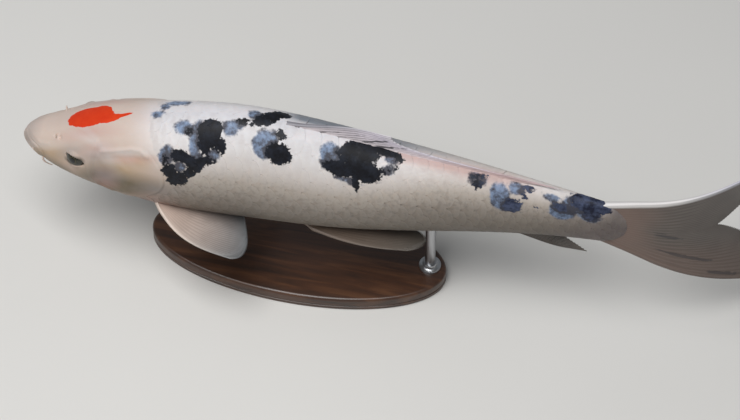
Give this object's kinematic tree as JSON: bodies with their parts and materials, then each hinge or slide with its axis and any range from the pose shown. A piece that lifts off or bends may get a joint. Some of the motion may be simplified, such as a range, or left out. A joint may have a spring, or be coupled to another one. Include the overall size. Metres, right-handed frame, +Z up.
{
  "type": "koi carp model on a stand",
  "caption": "Life-size still koi carp with folded dorsal fin, spread paired fins and a forked tail swung aside, held by slim rods on a flat oval base.",
  "frame": {"origin": "centre of the flat underside of the stand's base", "axes": "+X from the head towards the tail, +Y to the fish's right, +Z up"},
  "size_m": [0.5733, 0.1194, 0.1853],
  "materials": {
    "skin": "moist, scaled skin, white with black and red markings, satin gloss",
    "fin": "thin rayed membrane, satin",
    "eye": "polished",
    "stand_wood": "dark stained, satin lacquer",
    "stand_steel": "fine brushed"
  },
  "bodies": {
    "root": {"head": "skin", "lower_jaw": "skin", "gill_cover_left": "skin", "gill_cover_right": "skin", "trunk_front": "skin", "trunk_rear": "skin", "tail_stalk": "skin", "dorsal_fin": "fin", "pectoral_fin_left": "fin", "pectoral_fin_right": "fin", "pelvic_fin_left": "fin", "pelvic_fin_right": "fin", "anal_fin": "fin", "tail_fin_upper": "fin", "tail_fin_lower": "fin", "eye_left": "eye", "eye_right": "eye", "barbel_long_left": "skin", "barbel_long_right": "skin", "barbel_short_left": "skin", "barbel_short_right": "skin", "stand_base": "stand_wood", "stand_rod_front": "stand_steel", "stand_rod_rear": "stand_steel"}
  },
  "joints": []
}
